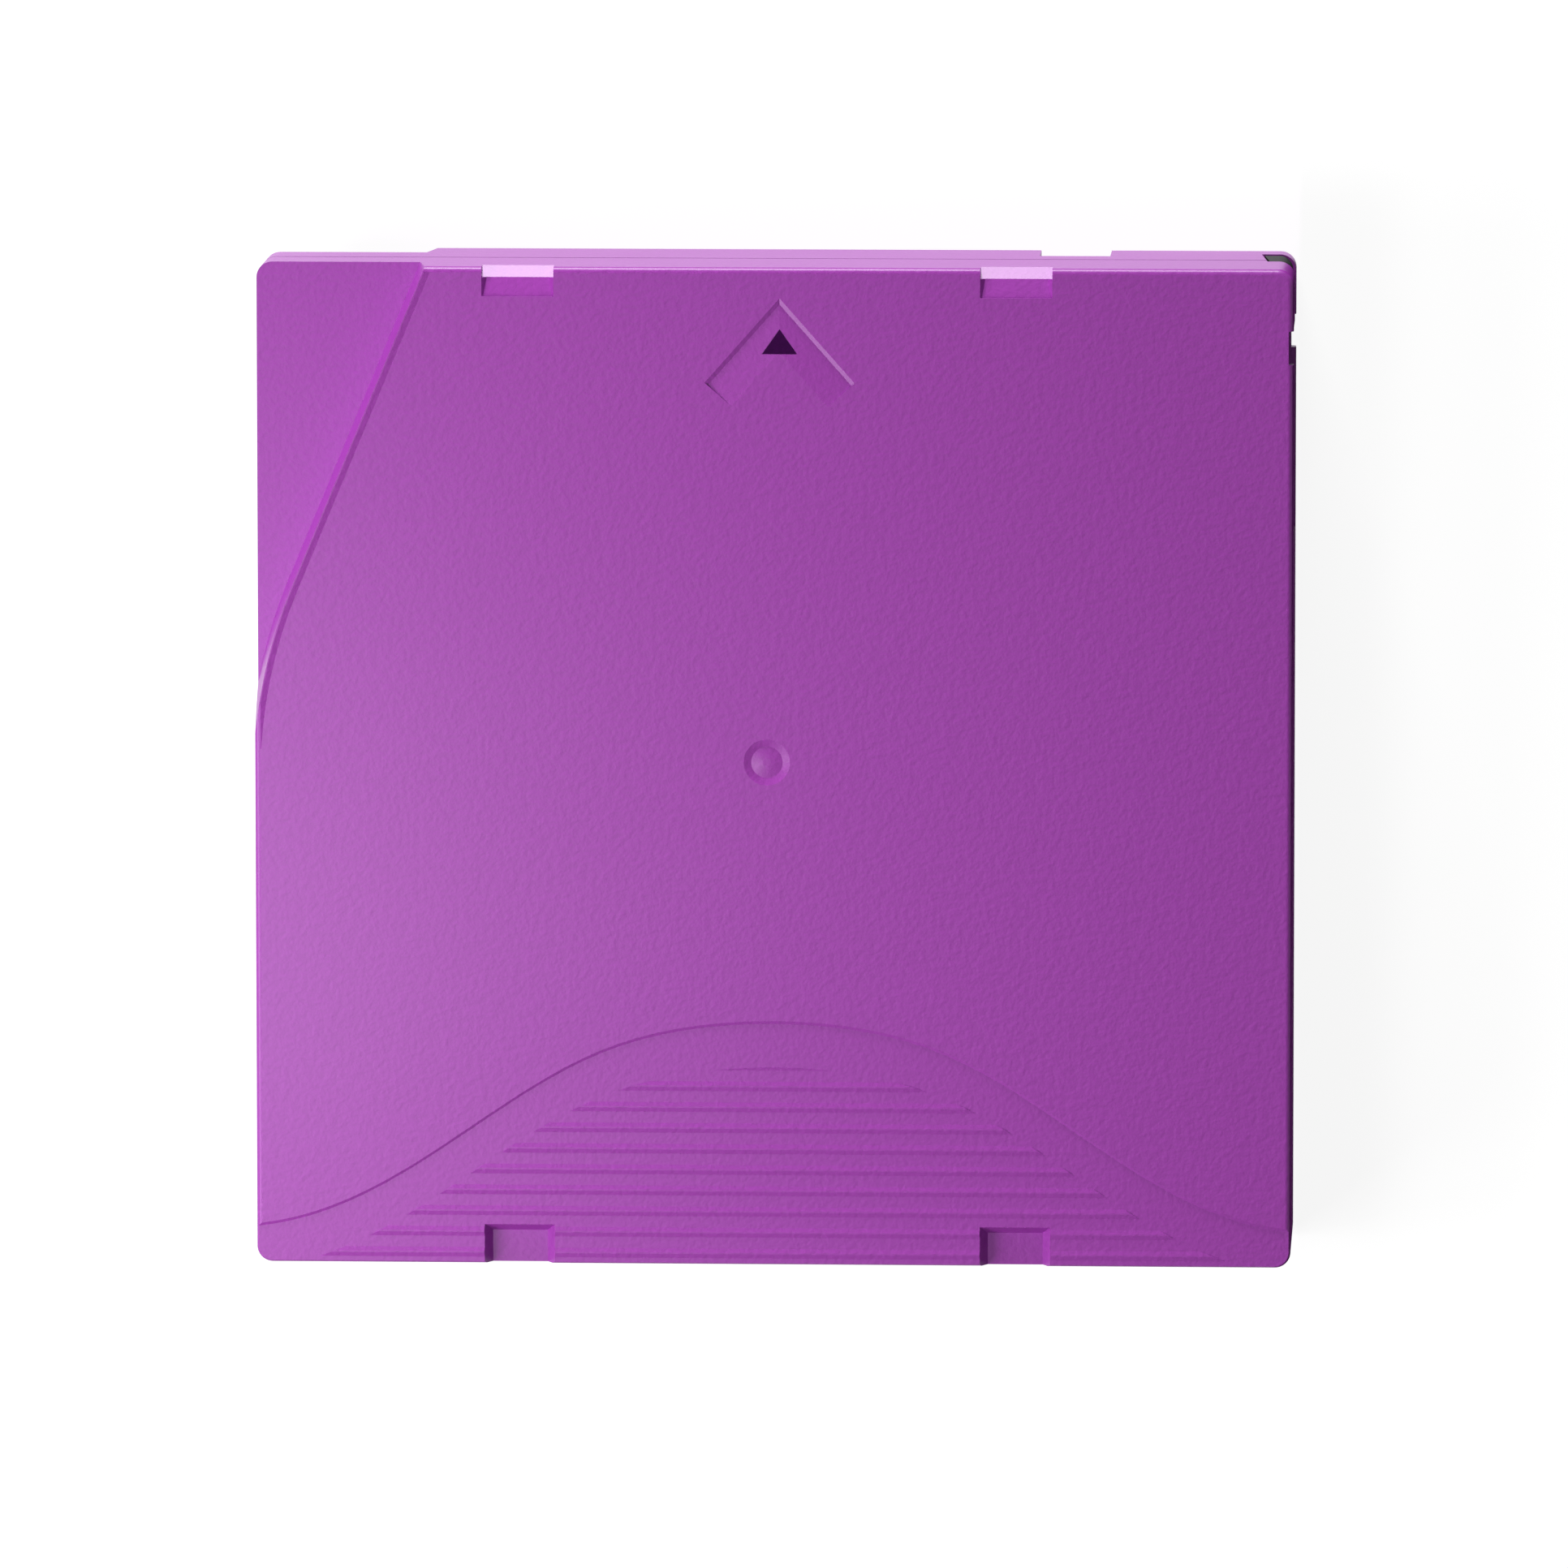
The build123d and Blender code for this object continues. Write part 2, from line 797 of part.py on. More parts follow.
def make_lower_case():
    """Lower half of the case with everything moulded on it."""
    shell = case_block() & block(-half_width, half_width, -half_depth, half_depth, 0, middle)
    shell += lip()
    shell -= both_halves_cut()
    shell += [well_ribs(floor_thickness - root, floor_thickness + well_rib_height)]
    shell += [door_rails(floor_thickness - root, floor_thickness + guide_rib_height), spring_stop()]
    shell += tab_rail(floor_thickness - root, middle - tab_plate_height / 2 + tab_plate_hold)
    shell += [pin_socket(floor_thickness - root, floor_thickness + socket_height)]
    shell += [pin_spring_posts(floor_thickness - root, pack_floor), memory_shelves(), location_bosses()]
    shell += [screw_post_low(*place) for place in screw_places.values()]
    rib_top = flange_bottom - seat_clearance
    shell += ring(window_radius + window_rib, window_radius, floor_thickness - root, rib_top, reel_x, reel_y)
    shell -= disc(window_radius, -past, floor_thickness + past, reel_x, reel_y)
    shell -= [screw_hole_low(*place) for place in screw_places.values()]
    shell -= [location_holes(), low_notch()]
    return shell


def crown_teeth(count, outer, inner, root, tip, z_root, height, phase=0.0):
    """Ring of radial teeth whose flat flanks narrow away from z_root; height may be negative."""
    teeth = []
    profile = polygon([(-root / 2, 0), (root / 2, 0), (tip / 2, height), (-tip / 2, height)])
    tooth = Pos(inner, 0, z_root) * extrude(Plane.YZ * profile, outer - inner, dir=(1, 0, 0))
    for index in range(count):
        teeth.append(Rot(0, 0, (index + phase) * 360 / count) * tooth)
    return teeth


def leg_places():
    """Turned places of the spider's legs round the axis."""
    turns = [Rot(0, 0, 90 + index * 360 / leg_count) for index in range(leg_count)]
    return [turn * Pos(spider_leg_circle, 0, 0) for turn in turns]


def make_reel_hub():
    """Hub and lower flange in one piece, toothed below and inside."""
    hub = disc(flange_radius, flange_bottom, pack_floor)
    hub += disc(hub_radius, flange_bottom, pack_ceiling)
    hub -= disc(hub_bore, hub_floor_top, pack_ceiling + past)
    hub += ring(drive_ring_outer, drive_ring_inner, flange_bottom - drive_ring_drop, flange_bottom + weld)
    hub += crown_teeth(
        drive_teeth, drive_ring_outer, drive_ring_inner, drive_tooth_root, drive_tooth_tip,
        flange_bottom - drive_ring_drop, -drive_tooth_height,
    )
    hub += crown_teeth(
        lock_teeth, lock_ring_outer, lock_ring_inner, lock_tooth_root, lock_tooth_tip,
        hub_floor_top, lock_tooth_height,
    )
    hole = disc(spider_leg_radius + spider_hole_gap, flange_bottom - past, hub_floor_top + past)
    hub -= [place * hole for place in leg_places()]
    hub -= disc(plate_inner, flange_bottom - past, flange_bottom + hub_floor / 2)
    return at_reel(hub)


def make_upper_flange():
    """Upper flange with the spigot that sits in the hub."""
    bore = hub_bore - assembly_clearance
    flange = ring(flange_radius, bore - spigot_wall, pack_ceiling, flange_top)
    flange += ring(bore, bore - spigot_wall, pack_ceiling - spigot_length, pack_ceiling + weld)
    return at_reel(flange)


def make_clutch_plate():
    """Steel ring under the hub floor with three holes for the legs."""
    plate = ring(plate_outer, plate_inner, flange_bottom - plate_thickness, flange_bottom)
    hole = disc(spider_leg_radius + spider_hole_gap, 0, flange_bottom + past)
    return at_reel(plate - [place * hole for place in leg_places()])


def make_tape_pack():
    """The wound tape as one ring."""
    return at_reel(ring(pack_radius, hub_radius + assembly_clearance, tape_low, tape_high))


def make_brake_button():
    """Toothed disc with the keyed sleeve that slides on the case's key."""
    brake = disc(brake_radius, brake_underside, brake_top)
    brake += crown_teeth(
        lock_teeth, lock_ring_outer, lock_ring_inner, lock_tooth_root, lock_tooth_tip,
        brake_underside, -lock_tooth_height, phase=0.5,
    )
    pad_top = hub_floor_top + spider_rest_gap + spider_plate
    brake += disc(spider_pad_radius, pad_top + spider_rest_gap / 2, brake_underside + weld)
    sleeve_top = ceiling - brake_lift - brake_boss_gap
    brake += disc(brake_boss_radius, brake_top - weld, sleeve_top)
    long = key_arm_length + 2 * key_clearance
    narrow = key_arm_width + 2 * key_clearance
    cross = Rectangle(long, narrow) + Rectangle(narrow, long)
    brake -= raised(cross, brake_top + brake_boss_floor, sleeve_top + past)
    return at_reel(brake)


def coil(radius, wire, turns, length):
    """An upright compression spring between two heights, centred on its axis."""
    rise = length - wire
    path = Helix(pitch=rise / turns, height=rise, radius=radius)
    section = Plane(origin=path @ 0, z_dir=path % 0) * RegularPolygon(wire / 2, wire_sides)
    return Pos(0, 0, wire / 2) * sweep(section, path=path)


def make_brake_spring():
    """Coil spring between the brake and the ceiling."""
    low = brake_top + spring_end_gap
    length = ceiling - spring_end_gap - low
    return at_reel(Pos(0, 0, low) * coil(spring_radius, spring_wire, spring_turns, length))


def make_release_spider():
    """Three legs through the hub floor under one star-shaped pad."""
    low = hub_floor_top + spider_rest_gap
    high = low + spider_plate
    spider = disc(spider_pad_radius, low, high)
    arm = block(-spider_leg_circle, 0, -spider_arm_width / 2, spider_arm_width / 2, low, high)
    leg = disc(spider_leg_radius, flange_bottom - plate_thickness + weld, high)
    for place in leg_places():
        spider += [place * arm, place * leg]
    return at_reel(spider)


def film_tangent():
    """Where the film leaves the pack, and its direction, for an outer tangent to the pin."""
    reach = hypot(pin_x - reel_x, pin_y - reel_y)
    start_radius = pack_radius + film_gap
    end_radius = pin_core_radius + film_gap
    bearing = atan2(pin_y - reel_y, pin_x - reel_x)
    angle = bearing - acos((start_radius - end_radius) / reach)
    outward = Vector(cos(angle), sin(angle))
    start = Vector(reel_x, reel_y) + outward * start_radius
    end = Vector(pin_x, pin_y) + outward * end_radius
    return start, end, outward, degrees(angle)


def make_leader_tape():
    """Free end of the tape: straight from the pack, then half way round the pin."""
    start, end, outward, angle = film_tangent()
    strip = polygon([start, end, end + outward * tape_film, start + outward * tape_film])
    inner = pin_core_radius + film_gap
    turn = Pos(pin_x, pin_y) * sector(inner + tape_film, inner, angle - 1, angle + film_wrap)
    return raised(strip + turn, tape_low, tape_high)


def make_leader_pin():
    """Turned pin with two collars and a necked tip at each end."""
    low = pack_floor + film_gap
    high = pack_ceiling - film_gap
    tip_low = floor_thickness
    tip_high = ceiling - pin_top_gap
    neck = pin_flange_thickness / 2
    tip_edge = pin_tip_radius - pin_tip_chamfer
    profile = [
        (0, tip_low), (tip_edge, tip_low), (pin_tip_radius, tip_low + pin_tip_chamfer),
        (pin_tip_radius, low - pin_flange_thickness - neck),
        (pin_groove_radius, low - pin_flange_thickness - neck),
        (pin_groove_radius, low - pin_flange_thickness),
        (pin_flange_radius, low - pin_flange_thickness), (pin_flange_radius, low),
        (pin_core_radius, low), (pin_core_radius, high),
        (pin_flange_radius, high), (pin_flange_radius, high + pin_flange_thickness),
        (pin_groove_radius, high + pin_flange_thickness),
        (pin_groove_radius, high + pin_flange_thickness + neck),
        (pin_tip_radius, high + pin_flange_thickness + neck),
        (pin_tip_radius, tip_high - pin_tip_chamfer), (tip_edge, tip_high), (0, tip_high),
    ]
    return Pos(pin_x, pin_y, 0) * revolve(Plane.XZ * polygon(profile), Axis.Z)


def make_leader_pin_clip():
    """C-shaped clip over the tape's end."""
    angle = film_tangent()[3]
    inner = pin_core_radius + film_gap + tape_film + film_gap
    plan = sector(inner + clip_wall, inner, angle + clip_start, angle + clip_start + clip_wrap)
    return Pos(pin_x, pin_y, 0) * raised(plan, tape_low, tape_high)


def make_pin_spring():
    """Folded steel strip: a back held in the case and two arms on the pin's ends."""
    y = pin_y + pin_spring_reach
    half = pin_spring_strip / 2
    low = floor_thickness + socket_height + pin_spring_gap
    high = ceiling - socket_height - pin_spring_gap
    wide = pin_spring_post
    spring = block(pin_x - wide, pin_x + wide, y - half, y + half, low, high)
    inner = pin_x + pin_tip_radius + pin_spring_gap
    for z in (low, high - pin_spring_width):
        spring += block(pin_x, inner + pin_spring_strip, y - half, y + half, z, z + pin_spring_width)
        arm_end = pin_y - pin_spring_arm_end
        spring += block(inner, inner + pin_spring_strip, arm_end, y + half, z, z + pin_spring_width)
    return spring


def make_door():
    """Sliding door: a panel behind the wall and a push block in the front slit."""
    panel = block(
        door_inner, door_outer, door_rear, inside_y - door_side_gap,
        floor_thickness + door_edge_gap, ceiling - door_edge_gap,
    )
    front = half_depth - door_front_inset
    rear = opening_front + door_side_gap
    left = half_width - slit_width + door_side_gap
    right = half_width - door_side_gap
    bar = extrude(slit_outline(door_side_gap), front, dir=(0, 1, 0))
    push = bar & block(left, right, rear, front, 0, case_height)
    uprights = push.edges().filter_by(Axis.Z).group_by(Axis.Y)[-1].sort_by(Axis.X)
    push = fillet(uprights[-1], door_front_round)
    low = slit_low + door_side_gap
    high = slit_low + slit_height - door_side_gap
    bridge_end = left + slit_slant + root
    bridge = block(door_inner, bridge_end, rear, inside_y - door_side_gap, low, high)
    lug = block(
        door_spring_x - door_spring_radius, door_outer, door_rear, door_rear + door_lug_length,
        middle - door_lug_height / 2, middle + door_lug_height / 2,
    )
    peg = Plane.XZ * Circle(door_peg_radius)
    peg = Pos(door_spring_x, door_rear + weld, middle) * extrude(peg, door_peg_length, dir=(0, -1, 0))
    return panel + push + bridge + lug + peg


def make_door_spring():
    """Long thin spring behind the door's rear end."""
    length = door_rear - spring_stop_y - 2 * spring_end_gap
    spring = coil(door_spring_radius, door_spring_wire, door_spring_turns, length)
    return Pos(door_spring_x, door_rear - spring_end_gap, middle) * Rot(90, 0, 0) * spring


def make_write_protect_tab():
    """Slider behind the rear wall with a ribbed thumb pad in the window."""
    left = tab_window_x - tab_plate_overlap
    plate = block(
        left, left + tab_plate_length, tab_front, tab_front + tab_thickness,
        middle - tab_plate_height / 2, middle + tab_plate_height / 2,
    )
    low = middle - tab_window_height / 2 + tab_gap
    high = middle + tab_window_height / 2 - tab_gap
    face = -half_depth + tab_gap
    nub_left = tab_window_x + tab_gap
    nub = block(nub_left, nub_left + tab_nub_length, face, tab_front + weld, low, high)
    pitch = tab_nub_length / (tab_grip_count + 1)
    for index in range(tab_grip_count):
        x = nub_left + (index + 1) * pitch
        half = tab_grip_width / 2
        nub -= block(x - half, x + half, face - past, face + tab_grip_depth, low, high)
    return plate + nub


def memory_plane():
    """Plane of the memory board's underside, leaning at 45 degrees on its shelves."""
    corner_x = inside_x - memory_shelf / 2
    corner_z = floor_thickness + memory_shelf / 2
    y = -half_depth + memory_from_rear + memory_length / 2
    return Plane(origin=(corner_x, y, corner_z), x_dir=(0, 1, 0), z_dir=(-1, 0, 1))


def make_memory_board():
    """Small circuit board that leans between the floor and the right wall."""
    return extrude(memory_plane() * Rectangle(memory_length, memory_width), memory_thickness)


def make_memory_chip():
    """Sealed chip on the memory board."""
    body = extrude(Rectangle(memory_chip, memory_chip), memory_chip_height, taper=memory_chip_draft)
    return memory_plane() * Pos(0, 0, memory_thickness) * body


def make_screw(x, y, base):
    """Pan-head screw, driven from below."""
    head_low = base + screw_sink
    head_high = head_low + screw_head_height
    head = disc(screw_head_radius, head_low, head_high)
    head = chamfer(head.faces().sort_by(Axis.Z)[0].edges(), screw_head_chamfer)
    shank = disc(screw_shank_radius, head_high - weld, head_high + screw_shank_length)
    recess = Pos(0, 0, head_low - weld) * extrude(
        RegularPolygon(screw_recess_radius, 6), screw_recess_depth
    )
    return Pos(x, y, 0) * (head + shank - recess)


def make_all():
    """Every piece by its node name."""
    pieces = {
        "upper_case": make_upper_case(),
        "lower_case": make_lower_case(),
        "reel_hub": make_reel_hub(),
        "reel_upper_flange": make_upper_flange(),
        "clutch_plate": make_clutch_plate(),
        "tape_pack": make_tape_pack(),
        "leader_tape": make_leader_tape(),
        "leader_pin": make_leader_pin(),
        "leader_pin_clip": make_leader_pin_clip(),
        "pin_retaining_spring": make_pin_spring(),
        "brake_button": make_brake_button(),
        "brake_spring": make_brake_spring(),
        "release_spider": make_release_spider(),
        "door": make_door(),
        "door_spring": make_door_spring(),
        "write_protect_tab": make_write_protect_tab(),
        "cartridge_memory_board": make_memory_board(),
        "cartridge_memory_chip": make_memory_chip(),
    }
    for name, place in screw_places.items():
        pieces[name] = make_screw(*place)
    return pieces


os.makedirs("parts", exist_ok=True)
for name, piece in make_all().items():
    export_step(piece, f"parts/{name}.step")
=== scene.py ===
import json
import math

import bpy
from mathutils import Euler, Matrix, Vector


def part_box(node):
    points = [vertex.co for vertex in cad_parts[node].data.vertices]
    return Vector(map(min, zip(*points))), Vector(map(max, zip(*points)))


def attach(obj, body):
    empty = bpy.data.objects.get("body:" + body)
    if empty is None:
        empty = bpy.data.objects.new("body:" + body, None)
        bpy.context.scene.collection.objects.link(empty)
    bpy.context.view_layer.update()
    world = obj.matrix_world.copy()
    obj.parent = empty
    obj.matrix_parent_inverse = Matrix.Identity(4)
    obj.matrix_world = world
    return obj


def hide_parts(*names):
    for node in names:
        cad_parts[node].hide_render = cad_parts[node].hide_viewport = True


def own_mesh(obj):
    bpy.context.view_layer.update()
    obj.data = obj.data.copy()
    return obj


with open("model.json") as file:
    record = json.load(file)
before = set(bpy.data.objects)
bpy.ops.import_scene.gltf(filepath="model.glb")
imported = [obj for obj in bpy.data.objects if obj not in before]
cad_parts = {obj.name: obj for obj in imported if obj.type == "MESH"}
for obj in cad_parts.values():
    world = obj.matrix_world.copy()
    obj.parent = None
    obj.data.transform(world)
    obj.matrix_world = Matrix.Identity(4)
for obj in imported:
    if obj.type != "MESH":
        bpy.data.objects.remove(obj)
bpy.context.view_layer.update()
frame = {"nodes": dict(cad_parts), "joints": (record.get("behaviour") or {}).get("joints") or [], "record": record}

# Camera: a long lens high above the cartridge, shifted towards its front and its door side
camera_place = (0.0729, 0.1955, 1.600)
camera_turn = (-7.11, 2.60, -0.02)
camera_lens = 360.2
camera_sensor = 36.0
camera_clip = (0.01, 20.0)

# Lights, each with its place, size and power, and a little light from all round
lights = {
    "key": ((-0.235, -0.04, 0.19), 0.16, 0.50),
    "soft": ((-0.095, -0.06, 0.32), 0.08, 0.21),
    "rear": ((-0.23, -0.20, 0.20), 0.12, 0.30),
    "front": ((-0.08, 0.80, 0.11), 0.26, 7.6),
}
world_light = 0.10

# Stage: the floor under the cartridge, and a dark card on it beside the door side as painted shade, a dark sheet
# that the door side reflects in place of the floor's shadow
matte = 0.9
floor_size = 3.0
floor_drop = 0.00005
floor_colour = (0.25, 0.25, 0.25)
floor_lift = 0.91
shade_card_edge = 0.0530
shade_card_size = (0.12, 0.16)
shade_card_lift = 0.0001
# the card's near-black colour is painted shade for the door side to reflect
shade_card_colour = (0.010, 0.008, 0.010)

# Colours, linear
white = (1.0, 1.0, 1.0)
case_purple = (0.340, 0.036, 0.398)
case_deep = (0.320, 0.034, 0.374)
reel_grey = (0.52, 0.52, 0.54)
flange_grey = (0.60, 0.61, 0.63)
steel = (0.60, 0.59, 0.57)
pin_steel = (0.66, 0.65, 0.63)
spring_steel = (0.46, 0.45, 0.44)
zinc = (0.56, 0.56, 0.57)
tape_black = (0.030, 0.024, 0.022)
acetal = (0.72, 0.70, 0.64)
clip_white = (0.66, 0.66, 0.62)
door_black = (0.018, 0.018, 0.020)
tab_red = (0.52, 0.045, 0.030)
board_green = (0.020, 0.130, 0.048)
resin_black = (0.012, 0.012, 0.012)
arrow_dark = (0.040, 0.001, 0.058)

# Textures: scales per metre, and the part of the noise that the colours span
moulded_grain = 1700.0
satin_grain = 1500.0
brushed_grain = 2200.0
wound_grain = 3500.0
blend_start = 0.35
blend_end = 0.65

# Plastics: colour, its share in the grain's hollows, roughness, grain, and relief in metres
plastics = {
    "reel_plastic": (reel_grey, 0.90, 0.42, satin_grain, 0.000008),
    "flange_plastic": (flange_grey, 0.92, 0.30, satin_grain, 0.000005),
    "clip_plastic": (clip_white, 0.93, 0.40, satin_grain, 0.000005),
    "brake_plastic": (acetal, 0.93, 0.36, satin_grain, 0.000005),
    "tab_plastic": (tab_red, 0.88, 0.42, satin_grain, 0.00001),
    "board": (board_green, 0.80, 0.30, satin_grain, 0.000004),
    "chip": (resin_black, 0.70, 0.24, satin_grain, 0.000004),
}
grain_detail = 3.0
patches_per_grain = 1 / 60
roughness_spread = 0.06
plastic_shine = 0.5
skin_roughness = 0.30

# The case, the door and the arrow's dark layer shine less, and the case has a smooth skin over part of its grain
case_roughness = 0.50
case_relief = 0.00008
case_shine = 0.25
case_skin = 0.45
door_shade = 0.7
door_roughness = 0.60
door_relief = 0.00002
door_shine = 0.15
layer_grain_share = 0.8
layer_roughness = 0.6
layer_relief = 0.00001
layer_shine = 0.05

# Metals: colour, roughness, and the stretch of the lines, or none for turned rings
metals = {
    "clutch_steel": (steel, 0.34, None),
    "pin_steel": (pin_steel, 0.22, (1.0, 1.0, 0.08)),
    "spring_steel": (spring_steel, 0.30, (1.0, 1.0, 1.0)),
    "screw_steel": (zinc, 0.32, (1.0, 1.0, 0.3)),
}
line_shade = 0.82
line_relief = 0.000004
line_smoother = 0.08
line_rougher = 0.10

# Wound tape
wound_shade = 0.7
wound_roughness = 0.28
wound_relief = 0.000003

# Springs: joint, piece, wire thickness in metres, and turns
springs = (
    ("brake_lift", "brake_coil", 0.0008, 5),
    ("door_slide", "door_coil", 0.00035, 14),
)
wire_sides = 10
turn_steps = 30
closed_turns = 0.8

# The arrow's recess in the upper case and the dark layer on its floor, in metres
bead_height = 0.00012
arrow_sink = 0.00015
arrow_offset = 0.0013
arrow_width = 0.00365
arrow_length = 0.0026
arrow_from_front = 0.0062
layer_thickness = 0.00004
layer_inset = 0.00004


def joint_named(name):
    """The joint of that name in the record."""
    return next(joint for joint in frame["joints"] if joint["name"] == name)


def reel_axis():
    """A point on the reel's axis, as the record's joint gives it."""
    return Vector(joint_named("reel_spin")["pos_m"])


def shaded(colour, share):
    """A colour darkened to a share of its light."""
    return tuple(share * part for part in colour)


def principled(name, roughness, metallic=0.0):
    """A new material with its tree and main shader."""
    material = bpy.data.materials.new(name)
    material.use_nodes = True
    tree = material.node_tree
    shader = tree.nodes["Principled BSDF"]
    shader.inputs["Roughness"].default_value = roughness
    shader.inputs["Metallic"].default_value = metallic
    return material, tree, shader


def noise(tree, scale, detail=2.0, stretch=(1.0, 1.0, 1.0)):
    """Noise in the object's own coordinates, so that it moves with its body."""
    place = tree.nodes.new("ShaderNodeTexCoord")
    mapping = tree.nodes.new("ShaderNodeMapping")
    mapping.inputs["Scale"].default_value = stretch
    texture = tree.nodes.new("ShaderNodeTexNoise")
    texture.inputs["Scale"].default_value = scale
    texture.inputs["Detail"].default_value = detail
    tree.links.new(place.outputs["Object"], mapping.inputs["Vector"])
    tree.links.new(mapping.outputs["Vector"], texture.inputs["Vector"])
    return texture.outputs["Fac"]


def vector_step(tree, operation, vector, other=None):
    """A vector math node of the given operation, fed by a vector and a constant."""
    node = tree.nodes.new("ShaderNodeVectorMath")
    node.operation = operation
    tree.links.new(vector, node.inputs[0])
    if other is not None:
        node.inputs[1].default_value = other
    return node.outputs


def ring_noise(tree, scale, detail=2.0):
    """Noise that changes only with the distance from the reel's axis."""
    place = tree.nodes.new("ShaderNodeTexCoord")
    from_axis = vector_step(tree, "SUBTRACT", place.outputs["Object"], reel_axis())
    level = vector_step(tree, "MULTIPLY", from_axis["Vector"], (1.0, 1.0, 0.0))
    distance = vector_step(tree, "LENGTH", level["Vector"])
    texture = tree.nodes.new("ShaderNodeTexNoise")
    texture.noise_dimensions = "1D"
    texture.inputs["Scale"].default_value = scale
    texture.inputs["Detail"].default_value = detail
    tree.links.new(distance["Value"], texture.inputs["W"])
    return texture.outputs["Fac"]


def blend_colour(tree, factor, low, high):
    """A colour between two, by a factor stretched from blend_start to blend_end."""
    ramp = tree.nodes.new("ShaderNodeValToRGB")
    ramp.color_ramp.elements[0].position = blend_start
    ramp.color_ramp.elements[1].position = blend_end
    ramp.color_ramp.elements[0].color = (*low, 1.0)
    ramp.color_ramp.elements[1].color = (*high, 1.0)
    tree.links.new(factor, ramp.inputs["Fac"])
    return ramp.outputs["Color"]


def span(tree, factor, low, high):
    """A factor of 0 to 1 brought into the range low to high."""
    reach = tree.nodes.new("ShaderNodeMapRange")
    reach.inputs["To Min"].default_value = low
    reach.inputs["To Max"].default_value = high
    tree.links.new(factor, reach.inputs["Value"])
    return reach.outputs["Result"]


def bump(tree, shader, height, depth):
    """Raises the surface by a height texture, depth in metres."""
    node = tree.nodes.new("ShaderNodeBump")
    node.inputs["Strength"].default_value = 1.0
    node.inputs["Distance"].default_value = depth
    tree.links.new(height, node.inputs["Height"])
    tree.links.new(node.outputs["Normal"], shader.inputs["Normal"])


def grained_plastic(name, low, high, roughness, scale, depth, shine=plastic_shine, skin=0.0):
    """Moulded plastic with a spark-eroded grain; skin is how much of it has a smoother surface."""
    material, tree, shader = principled(name, roughness)
    shader.inputs["Specular IOR Level"].default_value = shine
    shader.inputs["Coat Weight"].default_value = skin
    shader.inputs["Coat Roughness"].default_value = skin_roughness
    grain = noise(tree, scale, grain_detail)
    patches = noise(tree, scale * patches_per_grain)
    uneven = span(tree, patches, roughness - roughness_spread, roughness + roughness_spread)
    tree.links.new(blend_colour(tree, grain, low, high), shader.inputs["Base Color"])
    tree.links.new(uneven, shader.inputs["Roughness"])
    bump(tree, shader, grain, depth)
    return material


def brushed_metal(name, colour, roughness, stretch):
    """Metal with fine lines along one direction, or turned rings where no stretch is given."""
    material, tree, shader = principled(name, roughness, 1.0)
    if stretch:
        lines = noise(tree, brushed_grain, stretch=stretch)
    else:
        lines = ring_noise(tree, brushed_grain)
    low = shaded(colour, line_shade)
    uneven = span(tree, lines, roughness - line_smoother, roughness + line_rougher)
    tree.links.new(blend_colour(tree, lines, low, colour), shader.inputs["Base Color"])
    tree.links.new(uneven, shader.inputs["Roughness"])
    bump(tree, shader, lines, line_relief)
    return material


def wound_tape(name):
    """Edges of the wound film: fine rings about the reel's axis."""
    material, tree, shader = principled(name, wound_roughness)
    rings = ring_noise(tree, wound_grain)
    low = shaded(tape_black, wound_shade)
    tree.links.new(blend_colour(tree, rings, low, tape_black), shader.inputs["Base Color"])
    bump(tree, shader, rings, wound_relief)
    return material


def make_materials():
    """One material for each slot of the record."""
    made = {name: brushed_metal(name, *look) for name, look in metals.items()}
    for name, (colour, share, roughness, grain, relief) in plastics.items():
        made[name] = grained_plastic(name, shaded(colour, share), colour, roughness, grain, relief)
    made["tape"] = wound_tape("tape")
    made["case_plastic"] = grained_plastic(
        "case_plastic", case_deep, case_purple, case_roughness, moulded_grain, case_relief,
        case_shine, case_skin,
    )
    made["door_plastic"] = grained_plastic(
        "door_plastic", shaded(door_black, door_shade), door_black, door_roughness, moulded_grain,
        door_relief, door_shine,
    )
    return made


def dress_nodes():
    """Each CAD node takes the material of its slot."""
    for entry in frame["record"]["subparts"]:
        node = frame["nodes"][entry["node"]]
        node.data.materials.clear()
        node.data.materials.append(materials[entry["material_slot"]])


def link_object(name, data):
    """A new object in the scene."""
    item = bpy.data.objects.new(name, data)
    bpy.context.scene.collection.objects.link(item)
    return item


def add_arrow():
    """Thin dark purple layer on the floor of the arrow recess."""
    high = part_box("upper_case")[1]
    tip_y = high.y - arrow_from_front - 2 * layer_inset
    base_y = high.y - arrow_from_front - arrow_length + layer_inset
    middle = reel_axis().x + arrow_offset
    half = arrow_width / 2 - 2 * layer_inset
    bottom = high.z - bead_height - arrow_sink
    points = [
        (x, y, z)
        for z in (bottom, bottom + layer_thickness)
        for x, y in ((middle, tip_y), (middle - half, base_y), (middle + half, base_y))
    ]
    faces = [(0, 2, 1), (3, 4, 5), (0, 1, 4, 3), (1, 2, 5, 4), (2, 0, 3, 5)]
    mesh = bpy.data.meshes.new("arrow_dark_layer")
    mesh.from_pydata(points, [], faces)
    mesh.materials.append(grained_plastic(
        "arrow_dark_layer", shaded(arrow_dark, layer_grain_share), arrow_dark, layer_roughness, moulded_grain,
        layer_relief, layer_shine,
    ))
    arrow = link_object("arrow_dark_layer", mesh)
    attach(arrow, "case")


